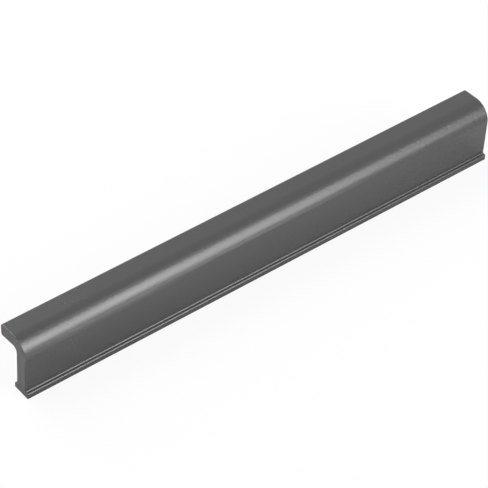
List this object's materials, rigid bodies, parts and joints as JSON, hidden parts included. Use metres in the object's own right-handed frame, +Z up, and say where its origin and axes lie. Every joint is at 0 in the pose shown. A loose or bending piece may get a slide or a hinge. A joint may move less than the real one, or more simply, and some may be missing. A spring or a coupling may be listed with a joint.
{
  "type": "handleless finger pull profile",
  "caption": "Straight extruded bar with a flat web on a beaded foot, bent over at the top into a lip that fingertips hook behind to pull a door or drawer open.",
  "frame": {"origin": "under the middle of the outer box, on the floor that the foot stands on", "axes": "+X along the extruded length, +Y towards the tip of the lip, +Z up from the foot to the bend"},
  "size_m": [0.2, 0.0148, 0.0232],
  "materials": {
    "satin_coat": "dark grey satin coat with a very fine speckle"
  },
  "bodies": {
    "root": {"finger_pull_profile": "satin_coat"}
  },
  "joints": []
}
